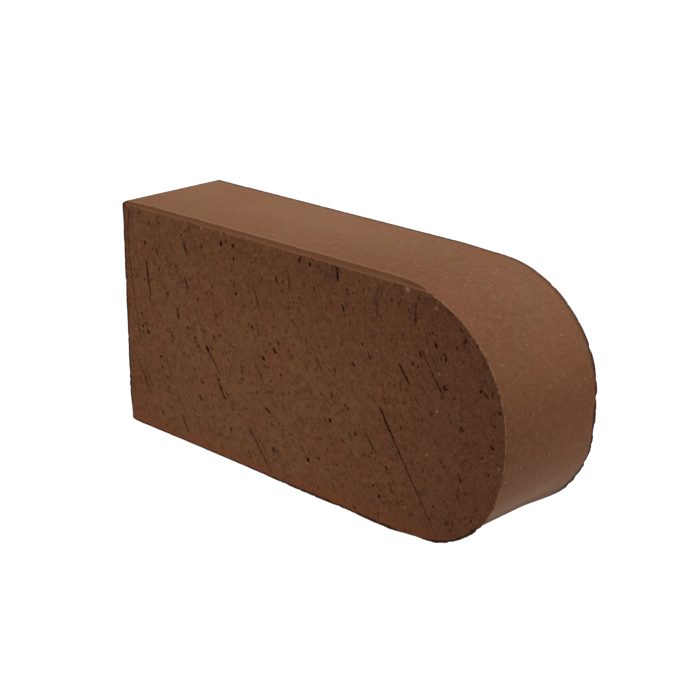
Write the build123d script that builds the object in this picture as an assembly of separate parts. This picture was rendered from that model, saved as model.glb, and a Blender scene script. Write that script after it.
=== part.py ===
from build123d import *

import os

# A shaped stove brick with one half-round end, standing on its narrow side.
#
# The clay column is pushed through a die whose mouth is the outline seen along Y: a
# rectangle that ends in a half circle. A wire then cuts the column into bricks, so the
# two large faces are the cut ones and the whole outline is the smooth, extruded one.
# A straight bar presses a bevel into the flat sides beside the cut. Along the upper side
# it runs out where the round end turns down.

# Driving dimensions, in millimetres. X is along the brick with +X at the round end,
# Y is through its thickness with -Y the front cut face, and Z is up.
brick_length = 250.0
brick_width = 120.0
brick_thickness = 65.0

# The bevel pressed beside the front cut face, along the upper side, is low and deep.
upper_bevel_drop = 1.5
upper_bevel_depth = 4.0

# The one down the square end is wide on the cut face and hardly touches the end.
end_bevel_width = 5.0
end_bevel_depth = 0.6

# The die's mouth has slightly eased corners at the square end.
corner_radius = 2.0

# The round end is a full half circle, as wide as the brick.
nose_radius = brick_width / 2

square_end = -brick_length / 2
nose_centre = brick_length / 2 - nose_radius
front_face = -brick_thickness / 2


def column_section():
    """The die's mouth: a rectangle with a half-round end, drawn flat on XY."""
    corner = (Align.MIN, Align.MIN)
    block = Rectangle(nose_centre - square_end, brick_width, align=corner)
    block = fillet(block.vertices().group_by(Axis.X)[0], corner_radius)
    nose = Circle(nose_radius)
    return Pos(square_end, 0) * block + Pos(nose_centre, nose_radius) * nose


def clay_column():
    """The section stood up, and pushed back from the front face by one thickness."""
    cut_plane = Plane.XZ.offset(-front_face)
    return extrude(cut_plane * column_section(), amount=-brick_thickness)


def upper_bevel():
    """What the bar takes off beside the front face, straight along the upper side."""
    wedge = Polygon(
        (front_face, brick_width),
        (front_face + upper_bevel_depth, brick_width),
        (front_face, brick_width - upper_bevel_drop),
        align=None,
    )
    return extrude(Plane.YZ.offset(square_end) * wedge, amount=brick_length)


def end_bevel():
    """What the bar takes off beside the front face, down the square end."""
    wedge = Polygon(
        (square_end, front_face),
        (square_end + end_bevel_width, front_face),
        (square_end, front_face + end_bevel_depth),
        align=None,
    )
    return extrude(wedge, amount=brick_width)


def brick_body():
    """One solid: a slice of the column, less the pressed bevels."""
    return clay_column() - upper_bevel() - end_bevel()


os.makedirs("parts", exist_ok=True)
export_step(brick_body(), "parts/brick_body.step")
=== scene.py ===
# %% [markdown]
# A shaped stove brick. Clay is pushed through a die whose mouth is the brick's outline, a
# rectangle with one half-round end, and a wire cuts the column into slices. So a brick has two
# kinds of surface: the smooth skin that slid along the die, and two cut faces that the wire has
# dragged open. This lesson makes both from one closed surface, and lets their marks be real
# hollows wherever they are large enough to see.

# %% The frame, which gives every size
import math

import bpy
import numpy as np
from mathutils import Matrix, Vector


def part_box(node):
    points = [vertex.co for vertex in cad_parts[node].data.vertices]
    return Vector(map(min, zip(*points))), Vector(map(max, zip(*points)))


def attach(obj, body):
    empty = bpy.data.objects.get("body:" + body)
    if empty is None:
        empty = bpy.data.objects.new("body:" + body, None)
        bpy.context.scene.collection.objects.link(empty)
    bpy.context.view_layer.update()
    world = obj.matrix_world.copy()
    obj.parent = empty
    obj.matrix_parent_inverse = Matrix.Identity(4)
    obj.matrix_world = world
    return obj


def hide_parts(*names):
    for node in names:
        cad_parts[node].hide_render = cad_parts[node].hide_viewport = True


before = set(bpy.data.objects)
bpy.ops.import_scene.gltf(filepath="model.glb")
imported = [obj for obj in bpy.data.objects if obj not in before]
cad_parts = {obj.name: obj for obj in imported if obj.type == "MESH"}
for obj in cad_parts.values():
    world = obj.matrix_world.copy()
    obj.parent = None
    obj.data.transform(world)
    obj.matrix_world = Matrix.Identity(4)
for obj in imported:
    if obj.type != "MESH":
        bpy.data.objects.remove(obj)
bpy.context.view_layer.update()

metre = 1000.0
low, high = (np.array(corner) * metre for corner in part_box("brick_body"))
length, thickness, width = high - low
half_length = length / 2
half_thickness = thickness / 2
nose_radius = width / 2
nose_x = half_length - nose_radius
middle_z = width / 2
print(f"brick of {length:.1f} x {width:.1f} x {thickness:.1f} mm")

# %% [markdown]
# The camera comes before the shape, because the marks of the front face are placed by where they
# are in the photograph. Its place, angle and lens were fitted to the outline that the photograph
# shows, with the brick at its standard size. A pixel of the photograph then becomes a ray, and
# where the ray meets the front face is where the mark lies on the real brick.

# %% The camera
photo_side = 700
photo_centre = (photo_side - 1) / 2
sensor_width = 36.0
camera_azimuth = math.radians(43.33)
camera_elevation = math.radians(20.01)
camera_roll = math.radians(0.555)
camera_place = np.array([488.5, -513.2, 321.2])
focal_pixels = 1565.0


def camera_axes():
    """The camera's right, up and backward directions, from its azimuth, elevation and roll."""
    turn, lift = camera_azimuth, camera_elevation
    back = np.array(
        [math.sin(turn) * math.cos(lift), -math.cos(turn) * math.cos(lift), math.sin(lift)]
    )
    level = np.array([math.cos(turn), math.sin(turn), 0.0])
    top = np.cross(back, level)
    right = math.cos(camera_roll) * level + math.sin(camera_roll) * top
    return right, np.cross(back, right), back


def add_camera():
    """A camera whose columns are the three directions, as wide as the photograph sees."""
    lens = bpy.data.cameras.new("photo_camera")
    lens.sensor_width = sensor_width
    lens.lens = focal_pixels * sensor_width / photo_side
    seen = bpy.data.objects.new("photo_camera", lens)
    bpy.context.collection.objects.link(seen)
    turned = Matrix([list(row) for row in np.array(camera_axes()).T]).to_4x4()
    turned.translation = camera_place / metre
    seen.matrix_world = turned
    bpy.context.scene.camera = seen
    return seen


def on_front_face(pixel):
    """Where the ray through a pixel of the photograph meets the front face, as x and z."""
    right, up, back = camera_axes()
    sideways = (pixel[0] - photo_centre) / focal_pixels
    upwards = (photo_centre - pixel[1]) / focal_pixels
    ray = -back + sideways * right + upwards * up
    share = (-half_thickness - camera_place[1]) / ray[1]
    hit = camera_place + share * ray
    return hit[[0, 2]]


photo_camera = add_camera()
print(f"lens of {photo_camera.data.lens:.1f} mm")

# %% [markdown]
# Clay is never even, so nearly everything below leans on noise. This one is the classic kind:
# random numbers stand on a square lattice, and a smooth curve blends the four around a point.
# It is written for whole arrays, so one call does a million points.

# %% Smooth noise
lattice_side = 256


def soft_noise(x, z, size, seed):
    """Blends the four lattice numbers around a point by 6t^5 - 15t^4 + 10t^3, from -1 to 1."""
    rng = np.random.default_rng(seed)
    lattice = rng.uniform(-1, 1, (lattice_side, lattice_side))
    u, v = np.broadcast_arrays(np.asarray(x) / size, np.asarray(z) / size)
    column, row = np.floor(u).astype(int), np.floor(v).astype(int)
    share_u, share_v = (
        t * t * t * (t * (t * 6 - 15) + 10) for t in (u - column, v - row)
    )

    def at(i, j):
        return lattice[(column + i) % lattice_side, (row + j) % lattice_side]

    left = at(0, 0) * (1 - share_v) + at(0, 1) * share_v
    right = at(1, 0) * (1 - share_v) + at(1, 1) * share_v
    return left * (1 - share_u) + right * share_u


def smooth_step(value, start, end):
    """0 before start, 1 past end, and 3t^2 - 2t^3 between."""
    t = np.clip((value - start) / (end - start), 0, 1)
    return t * t * (3 - 2 * t)


# %% [markdown]
# The wire sets off straight down from the upper side and then sweeps towards the round end, and
# every grain that it catches is dragged the same way. So one curve rules all the marks: how far
# sideways the wire has gone by each depth. Its slope grows from nothing to its full value, which
# makes the path the sum of that slope, and a sum of 3t^2 - 2t^3 is t^3 - t^4 / 2.

# %% The wire's path
sweep_start = 10.0
sweep_end = 65.0
sweep_slope = 0.78


def wire_shift(down):
    """How far sideways the wire has gone, at a depth below the upper side."""
    span = sweep_end - sweep_start
    t = np.clip((down - sweep_start) / span, 0, 1)
    return sweep_slope * (span * (t**3 - t**4 / 2) + np.maximum(down - sweep_end, 0))


# %% [markdown]
# The marks are carved into a map of each cut face, a fine square grid of depths. A grain that
# the wire pulled out leaves a pit, and one that it pulled along leaves a groove that is narrow
# at both ends. Each is the same shape, a line with a width: the depth falls off with the square
# of the distance from the line. Where two marks cross, the deeper one wins. Most marks are small,
# and some have friends close by, so the random sizes are raised to a power that favours low ones.

# %% The map of a cut face
map_step = 0.2
map_margin = 2.0
map_x = np.arange(-half_length - map_margin, half_length + map_margin, map_step)
map_z = np.arange(-map_margin, width + map_margin, map_step)
grid_x, grid_z = np.meshgrid(map_x, map_z, indexing="ij")
wobble = 0.26
wobble_size = 0.7
tiny = 1e-9
breadth_at_ends = 0.55
more_in_the_middle = 0.45
lip_spread = 0.25
least_lip_spread = 0.1
drag_step = 3.0
clump_size = 28.0
clump_seed = 77
even_chance = 0.5
friend_counts = (2, 5)
friends_aside = 1.1
friends_below = 1.8
mostly_small = 2.5
mostly_short = 2
lip_range = (0.3, 1)


class CutFace:
    """The hollows and lips of one cut face, as maps of millimetres over x and z."""

    def __init__(self, seed):
        self.rng = np.random.default_rng(seed)
        self.hollows = np.zeros_like(grid_x)
        self.lips = np.zeros_like(grid_x)
        self.bent_x = grid_x + wobble * soft_noise(grid_x, grid_z, wobble_size, seed + 1)
        self.bent_z = grid_z + wobble * soft_noise(grid_x, grid_z, wobble_size, seed + 2)

    def window_round(self, start, end, reach):
        """The part of the map that lies within reach of a line."""
        nearest = np.minimum(start, end) - reach - (map_x[0], map_z[0])
        furthest = np.maximum(start, end) + reach - (map_x[0], map_z[0])
        first = np.maximum((nearest / map_step).astype(int), 0)
        last = np.maximum((furthest / map_step).astype(int) + 1, 0)
        return slice(first[0], last[0]), slice(first[1], last[1])

    def carve(self, start, end, broad, deep, lip=0.0):
        """Carves one mark: deep at its middle line, nothing at half its breadth."""
        start, end = np.array(start, float), np.array(end, float)
        window = self.window_round(start, end, broad + map_step)
        x, z = self.bent_x[window], self.bent_z[window]
        if x.size == 0:
            return
        run = end - start
        run_squared = max(float(run @ run), tiny)
        along = np.clip(((x - start[0]) * run[0] + (z - start[1]) * run[1]) / run_squared, 0, 1)
        gap = np.hypot(x - start[0] - along * run[0], z - start[1] - along * run[1])
        bulge = np.sqrt(np.clip(4 * along * (1 - along), 0, 1))
        taper = breadth_at_ends + more_in_the_middle * bulge
        if run_squared < broad * broad:
            taper = 1.0
        half = broad / 2 * taper
        share = np.clip(1 - (gap / half) ** 2, 0, 1)
        np.maximum(self.hollows[window], deep * taper * share, out=self.hollows[window])
        if lip:
            spread = lip_spread * broad + least_lip_spread
            ridge = lip * np.exp(-(((gap - half) / spread) ** 2))
            np.maximum(self.lips[window], ridge, out=self.lips[window])

    def drag(self, x, z, long, broad, deep, lip=0.0):
        """Carves a mark that starts at x, z and follows the wire for a length, in short steps."""
        steps = max(int(long / drag_step), 1)
        down = width - z + np.linspace(0, long, steps + 1)
        route = np.stack([x + wire_shift(down) - wire_shift(down[0]), width - down], 1)
        shrink = long / max(np.hypot(*(route[-1] - route[0])), tiny)
        route = route[0] + (route - route[0]) * shrink
        for start, end in zip(route[:-1], route[1:]):
            self.carve(start, end, broad, deep, lip)

    def scatter(self, count, long, broad, deep, lip, clump, friendly):
        """Drags count marks from random places, more of them where a slow noise is high."""
        made = 0
        while made < count:
            x = self.rng.uniform(-half_length, half_length)
            z = self.rng.uniform(0, width)
            keep = even_chance + clump * soft_noise(x, z, clump_size, clump_seed)
            if self.rng.uniform() > keep:
                continue
            friends = self.rng.integers(*friend_counts) if self.rng.uniform() < friendly else 1
            for _ in range(friends):
                size = self.rng.uniform(0, 1) ** mostly_small
                self.drag(
                    x + self.rng.normal(0, friends_aside) * (friends > 1),
                    z + self.rng.normal(0, friends_below) * (friends > 1),
                    long[0] + (long[1] - long[0]) * self.rng.uniform(0, 1) ** mostly_short,
                    broad[0] + (broad[1] - broad[0]) * size,
                    deep[0] + (deep[1] - deep[0]) * size,
                    lip * self.rng.uniform(*lip_range),
                )
            made += friends


# %% [markdown]
# The marks that are too small to list one by one are strewn by chance. Each row below is a kind: how
# many there are, their least and greatest length, breadth and depth, the height of their lip, how
# much they clump, and how often one has friends beside it.

# %% Kinds of marks that lie by chance
fine_kinds = {
    "pores": (560, (0.0, 0.8), (0.6, 1.2), (0.2, 0.6), 0.0, 0.7, 0.15),
    "small pits": (110, (1.0, 3.0), (0.6, 0.9), (0.2, 0.5), 0.0, 0.6, 0.15),
    "hair-thin drags": (26, (5.0, 16.0), (0.5, 0.6), (0.1, 0.2), 0.0, 0.5, 0.0),
}
bold_kinds = {
    "pits": (150, (0.0, 1.0), (0.8, 1.8), (0.4, 1.2), 0.0, 0.6, 0.15),
    "long pits": (70, (1.5, 6.0), (0.6, 1.2), (0.3, 0.9), 0.05, 0.6, 0.15),
    "drag scratches": (24, (8.0, 26.0), (0.5, 0.8), (0.2, 0.5), 0.05, 0.5, 0.0),
}


def litter(face, kinds):
    """Scatters every kind of mark in a table over a face."""
    for kind in kinds.values():
        face.scatter(*kind)


# %% [markdown]
# Chance alone would never put the marks where this brick has them, and they are what the eye
# knows it by. So the ones that can be made out are listed, by the pixels where they lie in the
# photograph and a strength from 1 to 3. They are carved before chance adds the fine ones.

# %% The front face's own marks
line_sizes = {1: (0.8, 0.35), 2: (1.0, 0.5), 3: (1.35, 0.75)}
pit_sizes = {1: (1.2, 0.45), 2: (1.6, 0.7), 3: (2.05, 1.1)}
long_lines = [
    (378, 406, 436, 538, 2), (379, 407, 394, 442, 3), (398, 363, 409, 384, 3), (420, 348, 431, 372, 2),
    (429, 350, 437, 372, 1),
    (362, 428, 376, 454, 2), (366, 427, 371, 437, 1), (196, 313, 206, 346, 1), (200, 320, 206, 336, 1),
    (206, 347, 221, 377, 2), (218, 382, 224, 398, 3), (225, 388, 232, 405, 1), (139, 362, 151, 393, 2),
    (143, 362, 156, 394, 1), (162, 342, 171, 374, 1), (307, 338, 327, 383, 1), (247, 424, 271, 473, 2),
    (256, 434, 268, 456, 1), (296, 436, 307, 459, 1), (181, 414, 189, 434, 2), (145, 258, 150, 295, 3),
    (431, 372, 444, 400, 2), (134, 296, 139, 330, 1),
    (377, 281, 376, 320, 1), (415, 302, 415, 326, 2), (368, 322, 375, 346, 1), (423, 325, 430, 350, 1),
    (418, 382, 429, 399, 1), (252, 356, 264, 385, 1), (287, 346, 293, 361, 1), (387, 481, 400, 505, 1),
    (254, 289, 258, 310, 2), (246, 281, 249, 295, 1), (481, 389, 488, 400, 2), (153, 226, 154, 246, 1),
]
dashes_on_the_left = [
    (156, 216, 157, 224, 2), (189, 224, 189, 233, 1), (183, 242, 186, 255, 3), (233, 256, 233, 261, 3),
    (156, 247, 157, 255, 2), (134, 266, 134, 272, 1), (162, 300, 165, 310, 1), (176, 307, 178, 319, 3),
    (198, 270, 199, 286, 1), (202, 273, 204, 279, 1), (184, 277, 187, 289, 3), (262, 257, 262, 265, 1),
    (275, 275, 276, 283, 3), (287, 272, 289, 292, 2), (300, 256, 298, 262, 3), (303, 281, 304, 287, 1),
    (313, 285, 314, 291, 2), (170, 331, 173, 339, 2), (193, 327, 194, 331, 1), (195, 341, 198, 348, 2),
    (160, 363, 163, 369, 2), (162, 371, 164, 376, 1), (165, 374, 167, 380, 2), (213, 380, 215, 386, 1),
    (199, 394, 201, 400, 3), (277, 362, 278, 369, 1), (281, 393, 283, 397, 1), (307, 384, 313, 397, 1),
    (187, 418, 188, 423, 1), (208, 422, 209, 428, 2), (240, 446, 243, 454, 1), (247, 449, 251, 457, 2),
    (194, 366, 194, 371, 1),
]
dashes_on_the_right = [
    (336, 267, 337, 281, 3), (341, 304, 343, 311, 3), (333, 366, 335, 373, 2), (434, 342, 436, 348, 3),
    (419, 351, 421, 358, 3), (398, 381, 401, 392, 1), (350, 380, 352, 384, 1), (349, 448, 352, 457, 2),
    (325, 445, 328, 454, 1), (410, 441, 413, 447, 1), (460, 427, 462, 432, 3), (421, 468, 423, 473, 2),
    (341, 482, 343, 488, 1), (400, 498, 401, 503, 1), (456, 495, 458, 501, 2), (424, 488, 425, 492, 1),
    (444, 520, 446, 525, 1), (398, 301, 399, 306, 1), (459, 326, 463, 334, 1), (375, 305, 376, 318, 1),
]
pits_on_the_left = [
    (148, 222, 2), (180, 234, 2), (201, 246, 2), (220, 242, 3), (225, 240, 2), (232, 244, 2), (144, 241, 2),
    (140, 241, 1), (153, 245, 1), (149, 298, 1), (158, 268, 2), (167, 265, 1), (175, 265, 1), (141, 312, 2),
    (142, 325, 2), (147, 330, 3), (145, 335, 1), (153, 336, 1), (168, 327, 1), (213, 280, 1), (197, 299, 2),
    (187, 327, 2), (235, 293, 2), (231, 304, 1), (242, 306, 2), (251, 326, 2), (262, 327, 1), (282, 280, 1),
    (281, 290, 1), (293, 302, 2), (298, 297, 1), (309, 263, 2), (206, 347, 3), (211, 347, 1), (217, 378, 2),
    (160, 356, 3), (139, 377, 1), (141, 382, 1), (181, 367, 1), (202, 382, 2), (190, 348, 1), (213, 336, 2),
    (219, 335, 2), (215, 340, 1), (194, 337, 2), (277, 341, 2), (273, 349, 3), (262, 357, 3), (267, 366, 1),
    (280, 374, 2), (270, 387, 1), (270, 380, 1), (267, 391, 1), (242, 378, 1), (265, 408, 2), (268, 411, 2),
    (221, 403, 1), (227, 415, 1), (162, 411, 2), (176, 427, 1), (230, 428, 2), (278, 423, 1), (249, 431, 1),
    (263, 427, 1), (289, 433, 1), (272, 448, 2), (273, 453, 1), (307, 459, 3), (270, 470, 1), (302, 322, 1),
]
pits_on_the_right = [
    (329, 274, 1), (325, 271, 1), (358, 280, 1), (330, 303, 1), (374, 303, 1), (387, 293, 1), (391, 299, 1),
    (418, 298, 1), (352, 362, 3), (361, 343, 2), (375, 348, 1), (357, 320, 1), (407, 386, 1), (444, 353, 1),
    (445, 357, 2), (456, 347, 2), (463, 346, 1), (465, 339, 2), (443, 386, 2), (453, 397, 1), (480, 391, 2),
    (493, 392, 1), (336, 388, 1), (331, 396, 1), (361, 383, 1), (382, 384, 1), (389, 383, 1), (412, 362, 1),
    (417, 365, 1), (344, 404, 2), (347, 408, 2), (329, 420, 3), (354, 433, 2), (318, 458, 2), (384, 402, 1),
    (392, 404, 1), (374, 457, 1), (380, 463, 1), (385, 467, 2), (386, 472, 1), (415, 399, 1), (411, 400, 1),
    (400, 415, 1), (402, 420, 1), (417, 419, 1), (421, 419, 1), (421, 433, 1), (434, 441, 1), (436, 444, 1),
    (451, 442, 1), (462, 407, 1), (473, 414, 1), (494, 426, 2), (499, 413, 2), (502, 417, 1), (491, 447, 3),
    (411, 462, 1), (412, 465, 1), (458, 475, 1), (459, 479, 2), (465, 460, 1), (487, 474, 1), (395, 483, 1),
    (378, 495, 2), (379, 489, 1), (383, 502, 1), (353, 506, 2), (377, 513, 1), (432, 506, 2), (464, 492, 1),
    (490, 503, 3), (491, 507, 2), (487, 506, 1), (464, 518, 1), (470, 521, 2), (449, 529, 1), (391, 458, 1),
]
edge_groove = [(128, 207), (127, 231), (129, 256), (131, 275), (134, 296)]
edge_groove_size = (1.2, 0.4)
low_lip = 0.06
pit_long = (0.1, 0.9)
pit_broad = (0.8, 1.1)
pit_deep = (0.7, 1.1)


def carve_lines(face, marks):
    """Carves a line between the points where the rays through two pixels meet the face."""
    for left, top, right, bottom, strength in marks:
        start, end = on_front_face((left, top)), on_front_face((right, bottom))
        face.carve(start, end, *line_sizes[strength], low_lip)


def carve_pits(face, marks):
    """Carves a short torn pit, slightly longer down than across, where a pixel's ray lands."""
    for left, top, strength in marks:
        place = on_front_face((left, top))
        broad, deep = pit_sizes[strength]
        long = broad * face.rng.uniform(*pit_long)
        broad = broad * face.rng.uniform(*pit_broad)
        face.drag(*place, long, broad, deep * face.rng.uniform(*pit_deep))


front = CutFace(seed=11)
for marks in (long_lines, dashes_on_the_left, dashes_on_the_right):
    carve_lines(front, marks)
for marks in (pits_on_the_left, pits_on_the_right):
    carve_pits(front, marks)
for above, below in zip(edge_groove[:-1], edge_groove[1:]):
    front.carve(on_front_face(above), on_front_face(below), *edge_groove_size)
litter(front, fine_kinds)
rear = CutFace(seed=23)
litter(rear, fine_kinds)
litter(rear, bold_kinds)
print(f"deepest hollow in front {front.hollows.max():.2f} mm, behind {rear.hollows.max():.2f} mm")

# %% [markdown]
# Between its marks a cut face is not flat either. It sags and swells by a tenth of a millimetre,
# in slow waves, and it has faint ridges that run with the wire. Both are added to the hollows, and
# the sum says how far the surface lies behind the brick's outermost plane.

# %% How far a cut face lies inside the box
face_inset = 0.05
wave_height = 0.05
wave_size = 38.0
ridge_height = 0.05
ridge_breadth = 2.6
ridge_length = 30.0
least_depth = 0.02
last_cell = 1.001


def sample(chart, x, z):
    """Reads a map between its cells, blending the four nearest ones in proportion."""
    u = np.clip((x - map_x[0]) / map_step, 0, len(map_x) - last_cell)
    v = np.clip((z - map_z[0]) / map_step, 0, len(map_z) - last_cell)
    i, j = u.astype(int), v.astype(int)
    du, dv = u - i, v - j
    this_column = chart[i, j] * (1 - dv) + chart[i, j + 1] * dv
    next_column = chart[i + 1, j] * (1 - dv) + chart[i + 1, j + 1] * dv
    return this_column * (1 - du) + next_column * du


def face_depth(face, x, z, seed):
    """Depth inside the box: the inset, slow waves, ridges along the wire, hollows less lips."""
    down = width - z
    waves = wave_height * (1 + soft_noise(x, z, wave_size, seed))
    across, squeezed = x - wire_shift(down), down * ridge_breadth / ridge_length
    ridges = ridge_height * soft_noise(across, squeezed, ridge_breadth, seed + 5)
    depth = face_inset + waves + ridges + sample(face.hollows, x, z) - sample(face.lips, x, z)
    return np.maximum(depth, least_depth)


# %% [markdown]
# The die's outline is measured along its edge. A distance s starts at the middle of the square
# end, runs down round the first corner, along the lower side, round the nose and back along the
# upper side. Half of it is enough, because the other half is its mirror image: a short straight,
# a small corner arc, the long side and a quarter circle, one after the other. Wet clay sags, so
# the lower quarter of the nose is then filled out a little beyond the circle.

# %% The die's outline
corner_radius = 2.0
low_fullness = 2.36
end_run = width / 2 - corner_radius
corner_run = corner_radius * math.pi / 2
side_run = nose_x + half_length - corner_radius
nose_run = nose_radius * math.pi / 2
tip_s = end_run + corner_run + side_run + nose_run


def half_outline(a):
    """x and height over the middle, with the outward normal, for a distance from the square end."""
    b = np.clip(a - end_run, 0, None)
    c = np.clip(b - corner_run, 0, None)
    d = np.clip(c - side_run, 0, None)
    corner = np.clip(b, 0, corner_run) / corner_radius
    nose = np.clip(d, 0, nose_run) / nose_radius
    x = -half_length + corner_radius * (1 - np.cos(corner)) + np.clip(c, 0, side_run)
    x = x + nose_radius * np.sin(nose)
    h = np.clip(a, 0, end_run) + corner_radius * np.sin(corner) - nose_radius * (1 - np.cos(nose))
    out_x = np.where(d > 0, np.sin(nose), -np.cos(corner))
    out_h = np.where(d > 0, np.cos(nose), np.sin(corner))
    return x, h, out_x, out_h


def swell(past, h):
    """How far a point of the nose's circle moves out to reach |x|^n + |h|^n = radius^n."""
    turn = np.arctan2(np.abs(h), np.maximum(past, 0))
    total = np.cos(turn) ** low_fullness + np.sin(turn) ** low_fullness
    return total ** (-1 / low_fullness)


def outline(s):
    """x, z and the outward normal at a distance s all the way round."""
    s = np.mod(s, 2 * tip_s)
    lower = s < tip_s
    x, h, out_x, out_h = half_outline(np.where(lower, s, 2 * tip_s - s))
    stretch = np.where(lower, swell(x - nose_x, h), 1.0)
    x = np.where(x > nose_x, nose_x + (x - nose_x) * stretch, x)
    side = np.where(lower, -1.0, 1.0)
    return x, middle_z + side * h * stretch, out_x, side * out_h


# %% [markdown]
# Each cut face is a rectangle of cells bent into the outline. Its four sides are the lower side
# with an eighth of the nose, the middle quarter of the nose, the upper side, and the square end.
# The four sides together make the loop that both faces and the skin share, so the finished
# surface has no gap anywhere.

# %% The loop that faces and skin share
cell = 0.34
corner_s = end_run + corner_run / 2
turn_s = tip_s - nose_run / 2
columns = int((turn_s - corner_s) / cell) + 1
rows = int(2 * corner_s / cell) + 1
loop_s = np.concatenate(
    [
        np.linspace(corner_s, turn_s, columns)[:-1],
        np.linspace(turn_s, 2 * tip_s - turn_s, rows)[:-1],
        np.linspace(2 * tip_s - turn_s, 2 * tip_s - corner_s, columns)[:-1],
        np.linspace(2 * tip_s - corner_s, 2 * tip_s + corner_s, rows)[:-1],
    ]
)
loop_x, loop_z, loop_out_x, loop_out_z = outline(loop_s)
print(f"{columns} x {rows} cells on each face, {len(loop_s)} points round the skin")

# %% [markdown]
# The edges tell how the brick was made. The bar that steadied the column pressed a bevel beside
# the front cut, along the upper side, and a much shallower one down the square end. The wire left
# the clay at the lower side, so there the edge is torn. Every other edge is a little rounded and
# nicked. All of them are one idea: how far the skin lies inside the die's outline at each distance
# from a cut face. The bevel comes first. Its depth and drop change along the brick, so each is a
# table of places on x with the value there, in millimetres.

# %% The pressed bevel and the rounding
bevel_drops = {"square end": (-115.0, 1.45), "least": (-30.0, 1.42), "round end": (65.0, 2.0)}
bevel_depths = {
    "square end": (-119.0, 1.6),
    "wider": (-103.0, 3.7),
    "widest": (56.0, 4.2),
    "run out": (84.0, 1.0),
}
bevel_wavers = {"depth": (0.35, 0.5, 9.0, 61), "drop": (0.1, 3.5, 6.0, 62)}
bevel_kink = 0.72
bevel_kink_share = 0.42
lip_height = 0.1
lip_middle = 0.4
lip_half = 0.22
end_bevel_width = 2.6
end_bevel_depth = 0.15
edge_round = 0.25
skin_gap = 0.03


def along(table, x):
    """Straight lines between a table's named places, at x."""
    places, values = zip(*table.values())
    return np.interp(x, places, values)


def quarter_round(t, radius):
    """How far a quarter circle lies inside the corner, at t from the face."""
    share = np.clip(1 - t / radius, 0, 1)
    return radius * (1 - np.sqrt(1 - share**2))


def waver(x, name):
    """How far the bevel wavers at x, from the height, row, size and seed of a named noise."""
    height, *noise = bevel_wavers[name]
    return height * soft_noise(x, *noise)


def upper_bevel(x, t):
    """Drop at t behind the front: a gentle front part with a lip, then a steep back part."""
    depth = along(bevel_depths, x) + waver(x, "depth")
    drop = along(bevel_drops, x) + waver(x, "drop")
    share = np.clip(t / depth, 0, 1)
    gentle = 1 - bevel_kink_share * share / bevel_kink
    steep = (1 - bevel_kink_share) * (1 - share) / (1 - bevel_kink)
    lip = lip_height * np.exp(-(((t - lip_middle) / lip_half) ** 2))
    return drop * np.where(share < bevel_kink, gentle, steep) - lip


# %% [markdown]
# A torn edge looks torn because it is uneven at several sizes at once, so three noises are summed,
# each told by its row in the noise and its size. A chip is different: one clean bite with smooth
# ground on either side. Both are measured along the edge, which closes on itself.

# %% Torn and chipped edges
ragged_noises = {"slow": (0.5, 11.0), "middle": (3.5, 2.9), "fine": (7.5, 1.0)}
ragged_shares = {"slow": 0.3, "middle": 0.6, "fine": 0.4}
ragged_mean = 0.4


def ragged(s, seed, rough):
    """Uneven inset along an edge, from three sizes of noise, the finest one only where it bites."""
    inset = ragged_mean
    for number, (name, (row, size)) in enumerate(ragged_noises.items()):
        noise = soft_noise(s, row, size, seed + number)
        inset = inset + ragged_shares[name] * (np.maximum(noise, 0) if name == "fine" else noise)
    return rough * np.maximum(inset, 0)


def gap_along(s, middle):
    """How far s lies from a middle, the shorter way round the loop."""
    return np.abs(np.mod(s - middle + tip_s, 2 * tip_s) - tip_s)


def chips(s, seed, count, long, deep):
    """Bites out of an edge, each one minus the square of the distance from its middle."""
    rng = np.random.default_rng(seed)
    taken = np.zeros_like(s)
    for middle in rng.uniform(0, 2 * tip_s, count):
        half = rng.uniform(*long) / 2
        bite = rng.uniform(*deep) * np.clip(1 - (gap_along(s, middle) / half) ** 2, 0, 1)
        taken = np.maximum(taken, bite)
    return taken


def near(s, middle, half):
    """1 at the middle of a stretch of edge, falling smoothly to 0 at half its length."""
    return 1 - smooth_step(gap_along(s, middle), 0, half)


def within(s, start, end, soft):
    """1 between start and end of a stretch of edge, with soft ends."""
    return smooth_step(s, start - soft, start + soft) * (1 - smooth_step(s, end - soft, end + soft))


# %% [markdown]
# Which part of the edge is torn, worn or swollen was seen in the photograph. Each swelling is told
# by its middle, half its length and its height, and each stretch by its two ends and how soft they
# are. Along the nose an angle says where, from -90 below to 90 above.

# %% Where each edge is torn, worn or swollen
past_the_corner = 20
below_the_top = 5


def at_angle(degrees):
    """The distance along the edge at an angle of the nose."""
    return tip_s + math.radians(degrees) * nose_radius


rear_bumps = {
    "over the nose": (89, 22.0, -0.75),
    "upper shoulder": (27, 24.0, 0.45),
    "tip": (1, 17.0, -0.35),
    "lower shoulder": (-19, 17.0, 0.5),
    "under the nose": (-58, 16.0, -0.45),
}
front_wear = {
    "lower corner": (at_angle(-275), 14.0, 1.3),
    "lower side": (at_angle(-215), 95.0, 1.0),
    "before the nose": (at_angle(-122), 22.0, 0.5),
    "where the nose turns": (at_angle(-81), 15.0, 1.5),
}
front_wear_reach = 2.4
hollow_under_nose = 1.5
hollow_fades = 38.0
nose_swell = 0.75


def bumps(table, turn=float):
    """The sum of a table's swells along the loop: a place, a half length and a height each."""
    return sum(height * near(loop_s, turn(middle), half) for middle, half, height in table.values())


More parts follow.
